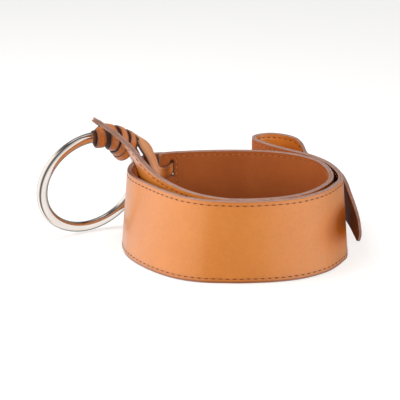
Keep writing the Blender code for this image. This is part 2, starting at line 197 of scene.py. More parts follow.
def catmull_rom(rows, per_span=24):
    """Rows resampled along a centripetal Catmull-Rom curve."""
    given = np.array(rows, float)
    given = np.vstack([2 * given[0] - given[1], given, 2 * given[-1] - given[-2]])
    spacing = np.linalg.norm(np.diff(given[:, :3], axis=0), axis=1) ** 0.5
    knots = np.concatenate([[0.0], np.cumsum(spacing)])
    parts = []
    for i in range(1, len(given) - 2):
        k0, k1, k2, k3 = knots[i - 1:i + 3]
        p0, p1, p2, p3 = given[i - 1:i + 3]
        k = np.linspace(k1, k2, per_span, endpoint=False)[:, None]
        a1 = ((k1 - k) * p0 + (k - k0) * p1) / (k1 - k0)
        a2 = ((k2 - k) * p1 + (k - k1) * p2) / (k2 - k1)
        a3 = ((k3 - k) * p2 + (k - k2) * p3) / (k3 - k2)
        b1 = ((k2 - k) * a1 + (k - k0) * a2) / (k2 - k0)
        b2 = ((k3 - k) * a2 + (k - k1) * a3) / (k3 - k1)
        parts.append(((k2 - k) * b1 + (k - k1) * b2) / (k2 - k1))
    parts.append(given[-2][None])
    return np.vstack(parts)


def smooth_step(x):
    x = np.clip(x, 0.0, 1.0)
    return x * x * (3 - 2 * x)


def unit(vectors):
    return vectors / np.linalg.norm(vectors, axis=-1, keepdims=True)


class Band:
    """A ruled band measured by arc length along its middle and by depth below its upper edge."""

    STEP = 0.4

    def __init__(self, rows, skive=((0.0, 1.0),)):
        dense = catmull_rom(rows)
        middle = (dense[:, :3] + dense[:, 3:]) / 2
        run = np.concatenate([[0.0], np.cumsum(np.linalg.norm(np.diff(middle, axis=0), axis=1))])
        self.length = run[-1]
        self.s = np.linspace(0.0, self.length, int(self.length / self.STEP) + 2)
        self.rows = np.stack([np.interp(self.s, run, column) for column in dense.T], axis=1)
        upper, lower = self.rows[:, :3], self.rows[:, 3:]
        along = np.gradient(upper + lower, axis=0)
        self.normal = unit(np.cross(along, upper - lower))
        self.skive = skive

    def thinning(self, s):
        """Share of the full thickness at an arc length, where the leather is pared down."""
        from_end, share = zip(*self.skive)
        return np.interp(self.length - np.asarray(s), from_end, share)

    def sample(self, s):
        rows = np.stack([np.interp(s, self.s, column) for column in self.rows.T], axis=-1)
        normal = np.stack([np.interp(s, self.s, column) for column in self.normal.T], axis=-1)
        return rows[..., :3], rows[..., 3:], unit(normal)

    def height(self, s):
        upper, lower, _ = self.sample(s)
        return np.linalg.norm(upper - lower, axis=-1)

    def place(self, s, depth, offset):
        """Points at arc length s, a depth below the upper edge, offset along the normal."""
        upper, lower, normal = self.sample(s)
        share = (depth / np.linalg.norm(upper - lower, axis=-1))[..., None]
        reach = np.asarray(offset) * self.thinning(s)
        return upper + (lower - upper) * share + normal * reach[..., None]

    def nearest(self, x, y):
        """The arc length whose middle passes nearest to a point in plan."""
        middle = (self.rows[:, :2] + self.rows[:, 3:5]) / 2
        return float(self.s[np.hypot(middle[:, 0] - x, middle[:, 1] - y).argmin()])


# ---------------------------------------------------------------- mesh building

# Rows of the face grids, as depths on a full-height band: dense by the edges and seams.
EDGE_ROWS = [0.45, 0.75, 1.1, 1.6, 2.1, 2.5, 2.75, 3.0, 3.25, 3.5, 3.9]
SLOT_ROWS = [SLOT_TOP, 8.4, 11.0, 13.6, 16.2, SLOT_BOTTOM]
MIDDLE_ROWS = [22.5, 26.5, 30.5, 34.5, 38.5, 42.5, 46.5, 50.0]
BAND_ROWS = EDGE_ROWS + SLOT_ROWS + MIDDLE_ROWS + [BAND_HEIGHT - d for d in EDGE_ROWS[::-1]]
EDGE_ZONE = EDGE_ROWS[-1]
LACE_ROWS = [0.45, 0.9, 1.6, 2.8, 4.2, 5.5, 6.9, 8.3, 9.5, 10.2, 10.65]

# Wall profiles: how far each ring stands out, and its offset from the middle of the band.
PLY_LIP = [(0.17, 1.84), (0.33, 1.72), (0.44, 1.5), (0.48, 1.2), (0.49, 0.9), (0.46, 0.6),
           (0.38, 0.34), (0.24, 0.16)]
LACE_LIP = [(0.2, 0.88), (0.36, 0.7), (0.43, 0.42), (0.45, 0.0), (0.43, -0.42), (0.36, -0.7),
            (0.2, -0.88)]
LIP_REACH = 0.45


def framed(x, y, z):
    """A point measured from the coil's middle, as metres in the frame."""
    return tuple((np.array([x, y, z]) + COIL_MIDDLE) * MM)


def mesh_object(name, points, faces, marks, surfaces, attributes=None):
    """A smooth-shaded object from points in millimetres; marks choose each face's surface."""
    mesh = bpy.data.meshes.new(name)
    mesh.from_pydata(((np.asarray(points) + COIL_MIDDLE) * MM).tolist(), [], faces)
    for surface in surfaces:
        mesh.materials.append(surface)
    mesh.polygons.foreach_set("material_index", np.asarray(marks, np.int32))
    for key, values in (attributes or {}).items():
        layer = mesh.attributes.new(key, "FLOAT", "POINT")
        layer.data.foreach_set("value", np.asarray(values, np.float32))
    build = bmesh.new()
    build.from_mesh(mesh)
    bmesh.ops.delete(build, geom=[v for v in build.verts if not v.link_faces], context="VERTS")
    bmesh.ops.recalc_face_normals(build, faces=build.faces)
    build.to_mesh(mesh)
    build.free()
    mesh.polygons.foreach_set("use_smooth", np.ones(len(mesh.polygons), bool))
    obj = bpy.data.objects.new(name, mesh)
    bpy.context.scene.collection.objects.link(obj)
    return obj


def corner_drop(x, radius):
    """How far a rounded corner takes the edge down at a distance x from the end."""
    x = np.clip(x, 0.0, radius)
    return radius - np.sqrt(np.maximum(radius ** 2 - (radius - x) ** 2, 0.0))


def column_places(start, end, corners, extra):
    """Arc lengths of the columns between two ends, denser where a corner turns or a seam crosses."""
    count = max(2, round((end - start) / COLUMN_STEP))
    places = list(np.linspace(start, end, count + 1))
    turns = np.radians([12, 25, 38, 52, 66, 78])
    places += [start + corners[0] * (1 - math.cos(t)) for t in turns]
    places += [end - corners[1] * (1 - math.cos(t)) for t in turns]
    places += [p for p in extra if start < p < end]
    places = sorted(places)
    fixed = set(extra) | {start, end}
    kept = [places[0]]
    for p in places[1:]:
        if p - kept[-1] > 0.2:
            kept.append(p)
        elif p in fixed:
            kept[-1] = p
    kept[0], kept[-1] = start, end
    return np.array(kept)


def depth_map(rows, nominal, height):
    """Row depths for a band of another height: edge rows keep their distance, the rest spread."""
    squeeze = np.minimum(1.0, height / (3 * EDGE_ZONE))
    zone = np.minimum(EDGE_ZONE, nominal / 3)
    out = np.empty((len(height), len(rows)))
    for j, (h, k) in enumerate(zip(height, squeeze)):
        out[j] = np.interp(rows, [0, zone, nominal - zone, nominal], [0, zone * k, h - zone * k, h])
    return out


class Slab:
    """A closed layer of leather lying on a band: two faces, a rounded wall round them, maybe a slot."""

    def __init__(self, band, start, end, rows=BAND_ROWS, nominal=BAND_HEIGHT, corners=(3.0, 3.0),
                 extra=(), seam_ends=(True, True), seams=(), slot=None, inset=0.0):
        self.band = band
        self.s = column_places(start + LIP_REACH + inset, end - LIP_REACH - inset, corners, extra)
        height = band.height(self.s)
        depth = depth_map(np.array(rows), nominal, height)
        drop = corner_drop(self.s - self.s[0], corners[0])
        drop = np.maximum(drop, corner_drop(self.s[-1] - self.s, corners[1]))
        drop = np.minimum(drop, height / 2 - 1.2) + inset
        low = depth[:, :1]
        high = depth[:, -1:]
        share = (high - low - 2 * drop[:, None]) / (high - low)
        self.depth = low + drop[:, None] + (depth - low) * share
        squeeze = np.minimum(1.0, height / (3 * EDGE_ZONE))[:, None]
        away = np.minimum(self.depth, height[:, None] - self.depth) - drop[:, None]
        edges = [away / squeeze]
        if seam_ends[0]:
            edges.append(np.broadcast_to((self.s - start)[:, None], depth.shape))
        if seam_ends[1]:
            edges.append(np.broadcast_to((end - self.s)[:, None], depth.shape))
        self.edge = np.min(edges, axis=0)
        self.seam = np.abs(self.edge - SEAM_INSET)
        for s in seams:
            self.seam = np.minimum(self.seam, np.abs(self.s - s)[:, None] + 0 * depth)
        self.slot = slot

    def grid(self, offset):
        s = np.broadcast_to(self.s[:, None], self.depth.shape)
        return self.band.place(s, self.depth, offset)

    def border(self):
        columns, rows = self.depth.shape
        top = [(j, 0) for j in range(columns)]
        far = [(columns - 1, k) for k in range(1, rows)]
        bottom = [(j, rows - 1) for j in range(columns - 2, -1, -1)]
        near = [(0, k) for k in range(rows - 2, 0, -1)]
        return top + far + bottom + near

    def hole(self):
        """The cells that the slot removes, as column and row ranges."""
        if self.slot is None:
            return None
        middle, width, top, bottom = self.slot
        first = int(np.abs(self.s - (middle - width / 2)).argmin())
        last = int(np.abs(self.s - (middle + width / 2)).argmin())
        upper = int(np.abs(self.depth[first] - top).argmin())
        lower = int(np.abs(self.depth[first] - bottom).argmin())
        return first, last, upper, lower

    def painted_shade(self, spots):
        """Painted shade from soft spots: arc length, depth, their two spreads, and a strength."""
        total = np.zeros(self.depth.shape)
        for s, depth, along, across, strength in spots:
            spread = ((self.s[:, None] - s) / along) ** 2 + ((self.depth - depth) / across) ** 2
            total = 1.0 - (1.0 - total) * (1.0 - strength * np.exp(-spread))
        return total.reshape(-1)

    def build(self, name, side, front, back, lip, surfaces, spots=()):
        columns, rows = self.depth.shape
        count = columns * rows
        outer = self.grid(side * front).reshape(-1, 3)
        inner = self.grid(side * back).reshape(-1, 3)
        hole = self.hole()
        if hole:
            self.round_hole(hole, (outer, inner))
        faces, marks = [], []
        for j in range(columns - 1):
            for k in range(rows - 1):
                if hole and hole[0] <= j < hole[1] and hole[2] <= k < hole[3]:
                    continue
                a, b = j * rows + k, (j + 1) * rows + k
                faces.append((a, b, b + 1, a + 1))
                marks.append(0)
                faces.append((count + a, count + a + 1, count + b + 1, count + b))
                marks.append(2)
        rings, across = self.wall(side, lip)
        border = [j * rows + k for j, k in self.border()]
        size = len(border)
        loops = [border]
        loops += [[2 * count + r * size + i for i in range(size)] for r in range(len(lip))]
        loops += [[count + b for b in border]]
        for upper, lower in zip(loops, loops[1:]):
            for i in range(size):
                n = (i + 1) % size
                faces.append((upper[i], upper[n], lower[n], lower[i]))
                marks.append(1)
        if hole:
            for a, b in self.hole_edges(hole):
                faces.append((a, b, count + b, count + a))
                marks.append(1)
        # Darker towards the edges: burnish at both, and more along the lower edge, which is painted
        # shade.
        below = self.depth > self.depth[:, -1:] / 2
        reach = np.where(below, 1.0, 0.4)
        rim = np.exp(-np.maximum(self.edge - reach, 0.0) / 0.7) * np.where(below, 1.0, 0.5)
        rim = rim.reshape(-1)
        groove = np.exp(-(self.seam / 0.55) ** 2).reshape(-1)
        points = np.vstack([outer, inner] + rings)
        attributes = {
            "rim": np.concatenate([rim, rim, np.ones(size * len(lip))]),
            "seam": np.concatenate([groove, groove, np.zeros(size * len(lip))]),
            "lip": np.concatenate([np.zeros(2 * count), across]),
            # Painted shade, from the spots given for this piece.
            "painted_shade": np.concatenate([self.painted_shade(spots), np.zeros(count + size * len(lip))]),
        }
        return mesh_object(name, points, faces, marks, surfaces, attributes)

    def wall(self, side, lip):
        """The rings of points that carry the rounded edge round the border."""
        border = self.border()
        s = self.s[[j for j, _ in border]]
        depth = np.array([self.depth[j, k] for j, k in border])
        line = self.band.place(s, depth, np.zeros(len(s)))
        normal = self.band.sample(s)[2]
        tangent = unit(np.roll(line, -1, axis=0) - np.roll(line, 1, axis=0))
        out = unit(np.cross(tangent, normal))
        upper, lower, _ = self.band.sample(s[:1])
        middle = len(self.s) // 2
        if (out[middle] @ (upper - lower)[0]) < 0:
            out = -out
        normal = normal * self.band.thinning(s)[:, None]
        rings = [line + out * reach + normal * (side * offset) for reach, offset in lip]
        across = np.repeat(np.linspace(1.0, 0.0, len(lip)), len(s))
        return rings, across

    def round_hole(self, hole, grids):
        """Takes the sharp corners off the slot."""
        first, last, upper, lower = hole
        rows = self.depth.shape[1]
        for points in grids:
            for k, step in ((upper, 1), (lower, -1)):
                for j in (first, last):
                    corner = j * rows + k
                    points[corner] += (points[corner + step] - points[corner]) * 0.35

    def hole_edges(self, hole):
        first, last, upper, lower = hole
        rows = self.depth.shape[1]
        edges = []
        for j in range(first, last):
            edges.append((j * rows + upper, (j + 1) * rows + upper))
            edges.append(((j + 1) * rows + lower, j * rows + lower))
        for k in range(upper, lower):
            edges.append((last * rows + k, last * rows + k + 1))
            edges.append((first * rows + k + 1, first * rows + k))
        return edges

    def pucker(self):
        """1 where the sewing pulls the leather down, and less between the stitches."""
        phase = np.cos(2 * math.pi * (self.s[:, None] / STITCH_PITCH))
        return 0.72 + 0.28 * phase


EDGE_ROLL = 0.16
GROOVE_DEPTH = 0.24
GROOVE_HALF_WIDTH = 0.42
SWELL = 0.07
SWELL_INSET = 4.6
# Where the plies start to part for the core, and how far they part.
SKIVE_INSET = 3.6
SKIVE_LENGTH = 1.6
EDGE_PARTING = 0.05
CORE_PARTING = 0.36


def face_offset(slab):
    """The outer face: crowned edge, sewing groove with puckers, a soft swell beside it."""
    roll = EDGE_ROLL * np.exp(-np.clip(slab.edge, 0.0, None) / 0.8)
    groove = GROOVE_DEPTH * np.exp(-(slab.seam / GROOVE_HALF_WIDTH) ** 2) * slab.pucker()
    swell = SWELL * np.exp(-((slab.edge - SWELL_INSET) / 1.2) ** 2)
    return HALF_THICKNESS - roll - groove + swell


def skived_offset(slab):
    """The inner face: it leaves room for the core and closes up towards the edge."""
    share = smooth_step((slab.edge - SKIVE_INSET) / SKIVE_LENGTH)
    return EDGE_PARTING + (CORE_PARTING - EDGE_PARTING) * share


# ---------------------------------------------------------------- sewing

THREAD_SIDES = 8
STITCH_RINGS = 7
STITCH_LENGTH = 2.9
THREAD_REACH = 0.36
THREAD_RISE = 0.3
# How far the thread's middle lies under the face.
THREAD_SINK = 0.22


def stitch_mesh(name, places, surface):
    """Stitches as short thread loops: each place gives centre, direction, normal and scale."""
    shape = np.linspace(-1.0, 1.0, STITCH_RINGS)
    thick = np.sqrt(np.maximum(1.0 - np.abs(shape) ** 2.6, 0.02))
    turns = 2 * math.pi * np.arange(THREAD_SIDES) / THREAD_SIDES
    points, faces = [], []
    for centre, along, normal, length in places:
        base = len(points)
        side = np.cross(along, normal)
        for x, t in zip(shape, thick):
            middle = centre + along * (x * length / 2) + normal * (0.16 - 0.34 * x * x)
            for a in turns:
                across = side * (math.cos(a) * THREAD_REACH * t)
                points.append(middle + across + normal * (math.sin(a) * THREAD_RISE * t))
        for r in range(STITCH_RINGS - 1):
            for i in range(THREAD_SIDES):
                n = (i + 1) % THREAD_SIDES
                a, b = base + r * THREAD_SIDES, base + (r + 1) * THREAD_SIDES
                faces.append((a + i, a + n, b + n, b + i))
        last = base + (STITCH_RINGS - 1) * THREAD_SIDES
        faces.append(tuple(base + i for i in range(THREAD_SIDES)))
        faces.append(tuple(last + i for i in range(THREAD_SIDES)))
    return mesh_object(name, points, faces, np.zeros(len(faces)), [surface])


def seam_places(band, line, side, offset, skip=None):
    """Stitches spaced along a line of (arc length, depth) points on a band's face."""
    line = np.array(line, float)
    path = band.place(line[:, 0], line[:, 1], np.zeros(len(line)))
    run = np.concatenate([[0.0], np.cumsum(np.linalg.norm(np.diff(path, axis=0), axis=1))])
    count = int(run[-1] / STITCH_PITCH)
    places = []
    for i in range(count):
        at = (i + 0.5) * run[-1] / count
        half = 0.45 * STITCH_LENGTH
        s = np.interp([at - half, at, at + half], run, line[:, 0])
        d = np.interp([at - half, at, at + half], run, line[:, 1])
        if skip and skip(s[1], d[1]):
            continue
        normal = band.sample(s)[2] * side
        ends = band.place(s, d, np.full(3, side * offset))
        places.append((ends[1], unit(ends[2] - ends[0]), normal[1], STITCH_LENGTH))
    return places


def seam_inset(band, s):
    return SEAM_INSET * np.minimum(1.0, band.height(s) / (3 * EDGE_ZONE))


def edge_line(band, start, end, upper):
    s = np.linspace(start, end, max(3, int(abs(end - start) / 1.5)))
    inset = seam_inset(band, s)
    depth = inset if upper else band.height(s) - inset
    return np.stack([s, depth], axis=1)


def cross_line(band, s, gap):
    inset = float(seam_inset(band, np.array([s]))[0]) + gap
    height = float(band.height(np.array([s]))[0])
    depth = np.linspace(inset, height - inset, 12)
    return np.stack([np.full(12, s), depth], axis=1)


def sew(name, band, side, surface, lines):
    places = []
    for line in lines:
        places += seam_places(band, line, side, HALF_THICKNESS - THREAD_SINK)
    return stitch_mesh(name, places, surface)


# ---------------------------------------------------------------- materials

class Nodes:
    """The node tree of a material or a world, with short ways to add to it."""

    def __init__(self, owner):
        owner.use_nodes = True
        self.owner = owner
        self.tree = owner.node_tree

    def add(self, kind, **settings):
        made = self.tree.nodes.new(kind)
        for key, value in settings.items():
            if key.startswith("in_"):
                made.inputs[key[3:].replace("_", " ")].default_value = value
            else:
                setattr(made, key, value)
        return made

    def join(self, value, socket):
        """Links an output to a socket, or gives the socket a plain value."""
        if hasattr(value, "is_linked"):
            self.tree.links.new(value, socket)
        else:
            socket.default_value = value

    def ramp(self, value, stops):
        """Colours spread over a value's range."""
        made = self.add("ShaderNodeValToRGB")
        elements = made.color_ramp.elements
        elements[0].position, elements[0].color = stops[0]
        elements[1].position, elements[1].color = stops[-1]
        for place, colour in stops[1:-1]:
            elements.new(place).color = colour
        self.join(value, made.inputs[0])
        return made.outputs[0]

    def fade(self, value, start, end):
        """0 up to start, 1 from end on."""
        return self.ramp(value, [(start, grey(0.0)), (end, grey(1.0))])

    def mix(self, factor, first, second, blend="MIX"):
        made = self.add("ShaderNodeMix", data_type="RGBA", blend_type=blend)
        made.clamp_factor = True
        for place, value in ((0, factor), (6, first), (7, second)):
            self.join(value, made.inputs[place])
        return made.outputs[2]

    def scaled(self, value, times, plus=0.0):
        made = self.add("ShaderNodeMath", operation="MULTIPLY_ADD")
        for socket, part in zip(made.inputs, (value, times, plus)):
            self.join(part, socket)
        return made.outputs[0]


class Surface(Nodes):
    """A material being made, with the patterns that every surface here uses."""

    def __init__(self, name):
        super().__init__(bpy.data.materials.new(name))
        self.shader = self.tree.nodes["Principled BSDF"]
        self.place = self.add("ShaderNodeTexCoord").outputs["Object"]

    def noise(self, scale, detail, rough=0.5, stretch=None):
        made = self.add("ShaderNodeTexNoise", in_Scale=scale, in_Detail=detail, in_Roughness=rough)
        place = self.place
        if stretch:
            mapping = self.add("ShaderNodeMapping", in_Scale=stretch)
            self.join(place, mapping.inputs["Vector"])
            place = mapping.outputs[0]
        self.join(place, made.inputs["Vector"])
        return made.outputs["Fac"]

    def painted(self, key):
        """A value that the mesh carries at each point."""
        return self.add("ShaderNodeAttribute", attribute_name=key).outputs["Fac"]

    def relief(self, height, strength, distance):
        made = self.add("ShaderNodeBump", in_Strength=strength, in_Distance=distance)
        self.join(height, made.inputs["Height"])
        self.set("Normal", made.outputs[0])

    def set(self, name, value):
        self.join(value, self.shader.inputs[name])


def grey(level):
    return (level, level, level, 1.0)


def rgb(r, g, b):
    """A linear colour from sRGB values of 0 to 255."""
    linear = []
    for value in (r, g, b):
        value = value / 255
        linear.append(value / 12.92 if value <= 0.04045 else ((value + 0.055) / 1.055) ** 2.4)
    return (*linear, 1.0)


# Colours of the painted shade: the dark heart of each spot, and the warmer tint multiplied into its soft
# penumbra.
SHADE_DARK = rgb(88, 44, 24)
PENUMBRA_TINT = (0.87, 0.6, 0.36, 1.0)


def leather(name, light, dark, rim_colour, roughness, cell, bump, coat=0.0, rim_share=0.6, dull=False):
    """Dyed leather: mottled colour, grain cells and pores, darker by the edges (burnish, and painted
    shade along the lower edge) and along the seams, and painted shade where the mesh carries it.
    """
    surface = Surface(name)
    mottled = surface.mix(surface.fade(surface.noise(34.0, 4.0, 0.6), 0.32, 0.68), light, dark)
    specks = surface.fade(surface.noise(420.0, 3.0, 0.7), 0.42, 0.62)
    veiled = surface.mix(surface.scaled(specks, 0.07), mottled, rim_colour)
    # Burnish by the edges, with painted shade along the lower edge; then darker along the seams.
    burnish_and_shade = surface.mix(surface.scaled(surface.painted("rim"), 1.6 * rim_share), veiled, rim_colour)
    sewn = surface.mix(surface.scaled(surface.painted("seam"), 0.28), burnish_and_shade, rim_colour)
    # Painted shade from the values that the mesh carries: a warmer tint over a wide penumbra, then a
    # dark heart.
    painted_shade = surface.painted("painted_shade")
    penumbra = surface.fade(painted_shade, 0.1, 0.5)
    warm = surface.mix(penumbra, sewn, PENUMBRA_TINT, "MULTIPLY")
    surface.set("Base Color", surface.mix(surface.fade(painted_shade, 0.22, 0.8), warm, SHADE_DARK))

    cells = surface.add("ShaderNodeTexVoronoi", feature="DISTANCE_TO_EDGE", in_Scale=cell)
    surface.join(surface.place, cells.inputs["Vector"])
    walls = surface.fade(cells.outputs["Distance"], 0.0, 0.22)
    pores = surface.noise(cell * 2.3, 2.0)
    if dull:
        folds = surface.noise(700.0, 4.0, 0.8, (1.0, 1.0, 0.25))
    else:
        folds = surface.noise(90.0, 3.0, 0.55, (1.0, 1.0, 0.35))
    height = surface.scaled(folds, 1.4, surface.scaled(walls, 0.6, pores))
    surface.relief(height, bump, 0.00012)

    surface.set("Roughness", surface.scaled(surface.noise(60.0, 3.0), 0.14, roughness - 0.07))
    shine = 0.2 if dull else 0.5
    # Where shade is painted, the shine and the coat are taken off as well.
    surface.set("Specular IOR Level", surface.scaled(penumbra, -shine, shine))
    surface.set("Coat Weight", surface.scaled(penumbra, -coat, coat))
    surface.set("Coat Roughness", 0.24)
    return surface.owner


def edge_paint(name, middle, lip_colour, dark):
    """Painted cut edge: smooth mauve-brown with faint streaks along it, and paler corners, partly the
    edge's own tone and partly a painted highlight.
    """
    surface = Surface(name)
    streaks = surface.noise(160.0, 4.0, 0.65)
    tone = surface.ramp(streaks, [(0.35, middle), (0.7, dark)])
    # Paler at both ends of the wall: partly the edge's own paler rims, partly a painted highlight on
    # their rounding.
    corners = [(0.0, grey(0.75)), (0.22, grey(0.0)), (0.72, grey(0.0)), (1.0, grey(1.0))]
    corner = surface.ramp(surface.painted("lip"), corners)
    surface.set("Base Color", surface.mix(surface.scaled(corner, 0.55), tone, lip_colour))
    surface.relief(surface.noise(1500.0, 3.0), 0.25, 0.0001)
    surface.set("Roughness", surface.scaled(streaks, 0.2, 0.3))
    return surface.owner


def flesh(name, light, dark):
    """Raw flesh side and core board: matt, fibrous."""
    surface = Surface(name)
    fibre = surface.noise(900.0, 5.0, 0.8)
    surface.set("Base Color", surface.ramp(fibre, [(0.3, dark), (0.7, light)]))
    surface.relief(fibre, 0.5, 0.0002)
    surface.set("Roughness", surface.scaled(fibre, 0.1, 0.82))
    return surface.owner


def waxed_thread(name, light, dark):
    """Twisted waxed thread."""
    surface = Surface(name)
    wave = surface.add("ShaderNodeTexWave", bands_direction="DIAGONAL", in_Scale=420.0,
                       in_Distortion=2.0)
    surface.join(surface.place, wave.inputs["Vector"])
    twist = wave.outputs["Fac"]
    surface.set("Base Color", surface.ramp(twist, [(0.2, dark), (0.8, light)]))
    surface.relief(twist, 0.5, 0.00015)
    surface.set("Roughness", surface.scaled(twist, 0.15, 0.5))
    surface.set("Specular IOR Level", 0.2)
    return surface.owner


def plated_metal(name):
    """Polished pale nickel with hairline scratches and a trace of handling haze."""
    surface = Surface(name)
    haze = surface.noise(45.0, 5.0, 0.6)
    tone = surface.ramp(haze, [(0.3, rgb(206, 198, 192)), (0.7, rgb(216, 209, 203))])
    surface.set("Base Color", tone)
    surface.set("Metallic", 1.0)
    surface.set("Roughness", surface.scaled(haze, 0.07, 0.035))
    surface.relief(surface.noise(260.0, 2.0, 0.5, (1.0, 1.0, 14.0)), 0.04, 0.00005)
    return surface.owner


GRAIN = leather("belt_grain", rgb(219, 134, 55), rgb(213, 127, 50), rgb(116, 52, 24), 0.38, 900.0, 0.06,
                coat=0.9, rim_share=0.5)
# The tongue's grain face: a darker, duller copy of the belt grain, painted shade for the narrow space
# between the tongue and the coil.
SHADED_TONGUE_GRAIN = leather("tongue_grain", rgb(112, 68, 44), rgb(102, 60, 38), rgb(74, 40, 26), 0.6, 900.0,
                       0.06, rim_share=0.4, dull=True)
LINING = leather("belt_lining", rgb(176, 96, 46), rgb(164, 86, 40), rgb(112, 54, 26), 0.6, 1100.0, 0.25,
                 rim_share=0.3, dull=True)
LACING = leather("lace_grain", rgb(214, 126, 58), rgb(204, 114, 48), rgb(90, 44, 26), 0.4, 1000.0, 0.1,
                 coat=0.5, rim_share=0.55)
# The neck lace: a paler copy of the lace leather, painted light where its face turns up to the lamps.
LIT_NECK_LACING = leather("neck_lace_grain", rgb(222, 150, 94), rgb(212, 136, 78), rgb(90, 44, 26), 0.4,
                      1000.0, 0.1, coat=0.5, rim_share=0.35)
COLLAR = leather("collar_leather", rgb(84, 48, 34), rgb(64, 36, 26), rgb(48, 28, 22), 0.55, 1000.0, 0.25)
EDGE = edge_paint("edge_paint", rgb(164, 126, 114), rgb(206, 170, 150), rgb(138, 100, 88))
LACE_EDGE = edge_paint("lace_edge_paint", rgb(104, 66, 52), rgb(160, 112, 84), rgb(78, 48, 38))
FLESH = flesh("leather_flesh", rgb(150, 98, 68), rgb(104, 62, 40))
BROWN_THREAD = waxed_thread("brown_thread", rgb(144, 72, 32), rgb(98, 46, 20))
PEACH_THREAD = waxed_thread("peach_thread", rgb(206, 128, 70), rgb(166, 94, 46))
METAL = plated_metal("ring_metal")


# ---------------------------------------------------------------- the belt's two halves

INNER = Band(INNER_HALF, [(0.0, PRESSED)])
OUTER = Band(OUTER_HALF, TONGUE_SKIVE)
SEAM_COLUMNS = [2.3, 2.65, 3.0, 3.35, 3.7]
INNER_SIDE = -1
OUTER_SIDE = 1


def slot_on(band):
    """Arc length at which the slot's axis crosses a band."""
    yaw = math.radians(SLOT_YAW)
    axis = np.array([math.sin(yaw), math.cos(yaw)])
    middle = (band.rows[:, :2] + band.rows[:, 3:5]) / 2 - np.array(SLOT_CENTRE)
    off = np.abs(middle[:, 0] * axis[1] - middle[:, 1] * axis[0])
    off = off + 100.0 * (np.abs(middle @ axis) > 12.0)
    return float(band.s[off.argmin()])


def half_slab(band, start, end, corners, seam_ends, slot_s=None, seams=()):
    """The outline of one length of a half, with columns where its seams and its slot need them."""
    extra = []
    if seam_ends[0]:
        extra += [start + c for c in SEAM_COLUMNS]
    if seam_ends[1]:
        extra += [end - c for c in SEAM_COLUMNS]
    slot = None
    if slot_s is not None:
        extra += [slot_s - SLOT_WIDTH / 2, slot_s, slot_s + SLOT_WIDTH / 2]
        slot = (slot_s, SLOT_WIDTH, SLOT_TOP, SLOT_BOTTOM)
    for s in seams:
        extra += [s - 0.7, s - 0.35, s, s + 0.35, s + 0.7]
    return Slab(band, start, end, corners=corners, extra=extra, seam_ends=seam_ends, seams=seams,
                slot=slot)


def plies(prefix, slab, side, outside=GRAIN, grain_spots=(), lining_spots=()):
    """Grain ply and lining ply of one length of band."""
    shape = (face_offset(slab), skived_offset(slab), PLY_LIP)
    grain = slab.build(prefix + "_grain_ply", side, *shape, [outside, EDGE, FLESH], grain_spots)
    lining = slab.build(prefix + "_lining_ply", -side, *shape, [LINING, EDGE, FLESH], lining_spots)
    return grain, lining


def sew_both(prefix, band, side, lines, nodes):
    """Brown thread on the grain side and peach thread on the lining side."""
    made = []
    for face, facing, thread in (("grain", side, BROWN_THREAD), ("lining", -side, PEACH_THREAD)):
        stitches = sew(f"{prefix}_{face}_stitches", band, facing, thread, lines)
        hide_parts(*nodes)
        made.append(stitches)
    return made


def bend_all(pieces):
    for piece in pieces:
        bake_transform(piece)


CORE_ROWS = [5.6, 6.4, 12.0, 20.0, 28.5, 37.0, 45.0, 50.6, 51.4]
CORE_LIP = [(0.1, 0.26), (0.18, 0.12), (0.18, -0.12), (0.1, -0.26)]


def core(name, band, slot_s, end):
    """Reinforcement between the plies, well inside the seams and past the slot."""
    slab = Slab(band, slot_s + 6.0, end, rows=CORE_ROWS, corners=(1.0, 1.0), seam_ends=(False, False))
    flat = np.full(slab.depth.shape, 0.3)
    made = slab.build(name, 1, flat, -flat, CORE_LIP, [FLESH, FLESH, FLESH])
    return made


INNER_SLOT = slot_on(INNER)
OUTER_SLOT = slot_on(OUTER)
JOIN = OUTER.nearest(*TONGUE_JOIN)

# Painted shade: where it lies along a half and below its upper edge, its two spreads, and its strength.
# Painted shade on the lining and the grain leather in the gap where the two halves cover each other.
INNER_GAP_SHADE = (INNER.nearest(65.0, -2.0), 30.0, 55.0, 200.0, 0.8)
OUTER_GAP_SHADE = (OUTER.nearest(71.0, 5.0), 30.0, 55.0, 200.0, 0.8)
# Painted shade on the strap's lower edge, tucked inside the outer half, and in the bend that it is
# tucked into.
TUCKED_SHADE = (INNER.nearest(-68.0, 1.0), 25.0, 11.0, 11.0, 0.95)
LEFT_BEND_SHADE = (OUTER.nearest(-74.0, 0.0), 14.0, 30.0, 60.0, 0.6)
# Painted shade inside the tail's loop.
LOOP_SHADE = (OUTER.nearest(48.0, 102.0), 12.0, 24.0, 60.0, 0.34)
# Painted shadow that the tongue casts on the outer half, and a warmer painted penumbra round it.
TONGUE_SHADOW = (OUTER.nearest(69.5, -12.5), 28.0, 16.0, 13.0, 0.54)
TONGUE_PENUMBRA = (OUTER.nearest(65.5, -25.0), 29.0, 26.0, 17.0, 0.38)


def inner_half():
    slot_row = INNER_SLOT + SLOT_WIDTH / 2 + 1.7
    slab = half_slab(INNER, 0.0, INNER.length, (2.6, 1.0), (True, True), INNER_SLOT, (slot_row,))
    grain, lining = plies("inner", slab, INNER_SIDE, grain_spots=[INNER_GAP_SHADE, TUCKED_SHADE])
    first, last = SEAM_INSET, INNER.length - SEAM_INSET
    lines = [
        edge_line(INNER, first, last, True),
        edge_line(INNER, first, last, False),
        cross_line(INNER, first, 1.5),
        cross_line(INNER, slot_row, 2.0),
        cross_line(INNER, last, 1.5),
    ]
    sewing = sew_both("inner", INNER, INNER_SIDE, lines, ("inner_thread", "strap_thread"))
    bend_all((grain, lining, *sewing))
    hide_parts("inner_shell", "strap_shell")
    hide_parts("inner_lining", "strap_lining")
    board = core("inner_core_board", INNER, INNER_SLOT, INNER.nearest(9.0, -55.6))
    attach(board, "belt")
    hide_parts("inner_core")


